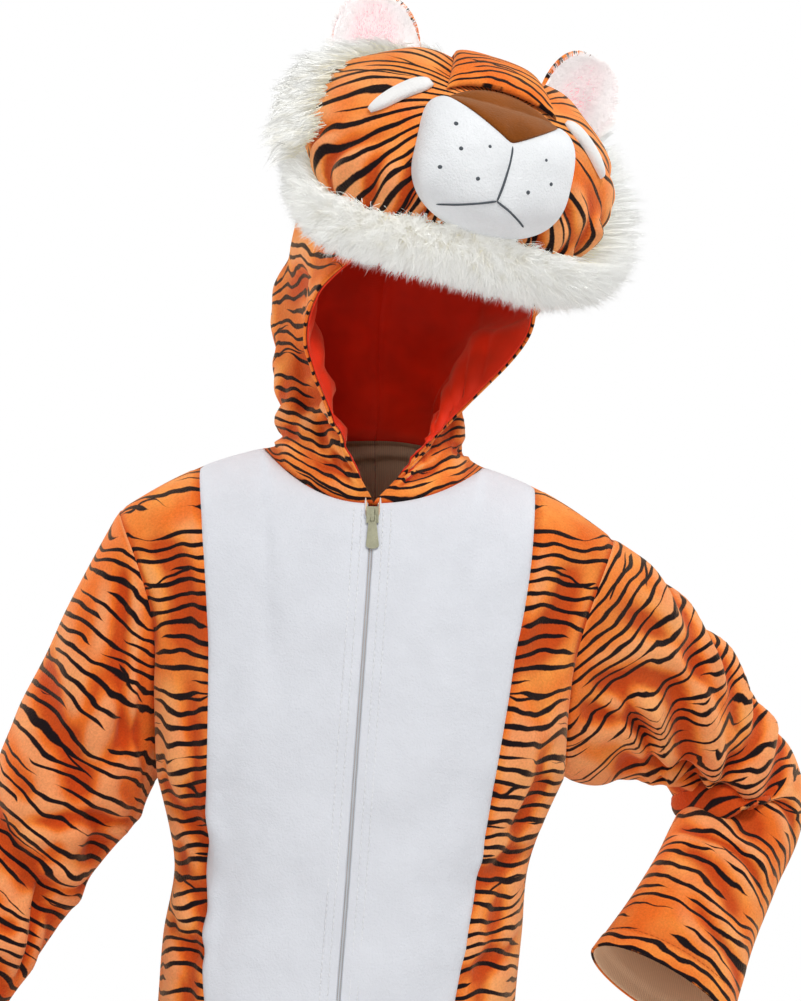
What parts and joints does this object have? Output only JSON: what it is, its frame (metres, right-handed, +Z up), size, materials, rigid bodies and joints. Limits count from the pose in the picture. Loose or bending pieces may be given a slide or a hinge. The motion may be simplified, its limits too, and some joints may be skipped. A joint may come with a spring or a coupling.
{
  "type": "hooded animal costume",
  "caption": "Child's hooded tiger costume with a padded tiger head on the hood, fur trim, white front panel, zip, long sleeves and legs, kept hollow in its worn pose.",
  "frame": {"origin": "middle of the neck opening, level with the inner ends of the shoulder seams, where the wearer's shoulders and neck carry the garment", "axes": "+Z up the wearer's body, -Y the way the front faces, +X on the right of someone who looks at the front; the arm on +X rests on the hip"},
  "size_m": [0.7254, 0.2958, 1.3086],
  "materials": {
    "tiger_plush": "short pile, printed stripes",
    "white_plush": "short pile",
    "red_lining": "smooth knit",
    "brown_plush": "short pile",
    "pink_plush": "short pile",
    "cream_fur": "long pile",
    "zip_tape": "woven tape",
    "zip_nylon": "moulded coil",
    "zip_metal": "greenish plated"
  },
  "bodies": {
    "garment": {"back_left": "tiger_plush", "back_right": "tiger_plush", "bib_left": "white_plush", "bib_right": "white_plush", "ear_left_back": "tiger_plush", "ear_left_front": "pink_plush", "ear_right_back": "tiger_plush", "ear_right_front": "pink_plush", "eye_left": "white_plush", "eye_right": "white_plush", "face": "tiger_plush", "fur_trim": "cream_fur", "hood_left": "tiger_plush", "hood_lining_left": "red_lining", "hood_lining_right": "red_lining", "hood_right": "tiger_plush", "leg_left_back": "tiger_plush", "leg_left_front": "tiger_plush", "leg_right_back": "tiger_plush", "leg_right_front": "tiger_plush", "muzzle": "white_plush", "nose": "brown_plush", "nose_bridge": "tiger_plush", "side_front_left": "tiger_plush", "side_front_right": "tiger_plush", "sleeve_left": "tiger_plush", "sleeve_right": "tiger_plush", "slider": "zip_metal", "zip_chain": "zip_nylon", "zip_tape_left": "zip_tape", "zip_tape_right": "zip_tape"},
    "zip_pull": {"pull_tab": "zip_metal"}
  },
  "joints": [
    {"name": "zip_pull_swing", "type": "hinge", "parent": "garment", "child": "zip_pull", "pos_m": [-0.00038, -0.08605, -0.0418], "axis": [-1, 0, 0], "range_deg": [0, 115]}
  ]
}
